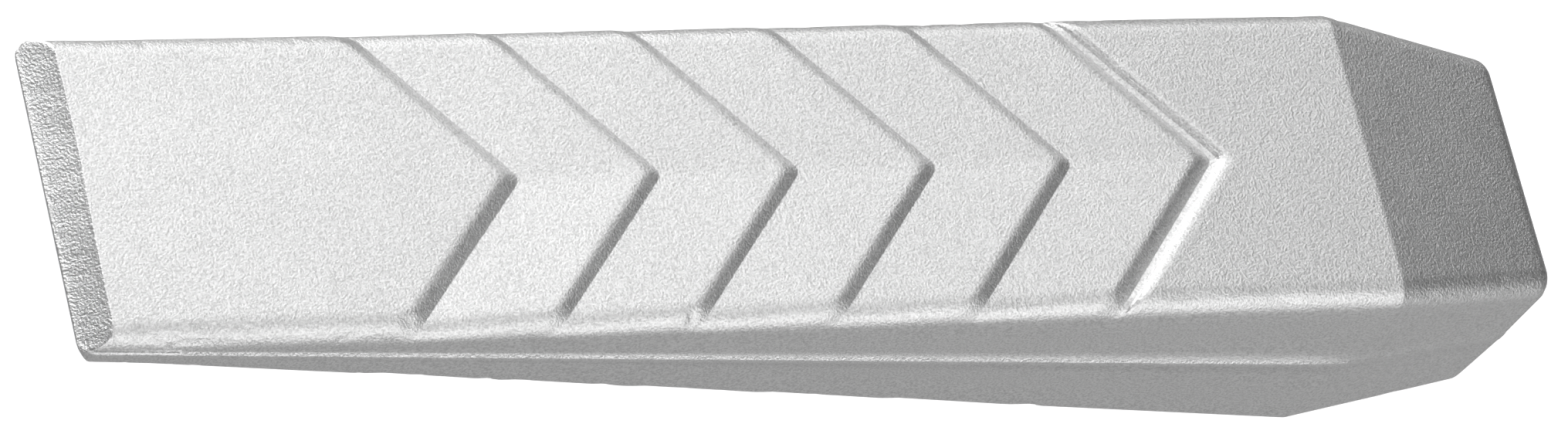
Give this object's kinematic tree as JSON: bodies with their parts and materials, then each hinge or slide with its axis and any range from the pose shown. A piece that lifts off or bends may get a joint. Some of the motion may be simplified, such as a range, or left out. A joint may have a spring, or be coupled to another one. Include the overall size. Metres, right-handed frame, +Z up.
{
  "type": "felling wedge",
  "caption": "Solid tapered aluminium felling wedge with V-shaped barbs on both broad faces and a head chamfered down to a smaller striking face.",
  "frame": {"origin": "centre of the outer box, on the plane that the lower broad face rests on", "axes": "+X from the tip to the striking head along the lower broad face, +Y across the width, +Z up from the lower broad face"},
  "size_m": [0.2604, 0.056, 0.0445],
  "materials": {
    "blasted_aluminium": "fine-grained blasted, matt, with brighter trimmed edges"
  },
  "bodies": {
    "root": {"wedge_body": "blasted_aluminium"}
  },
  "joints": []
}
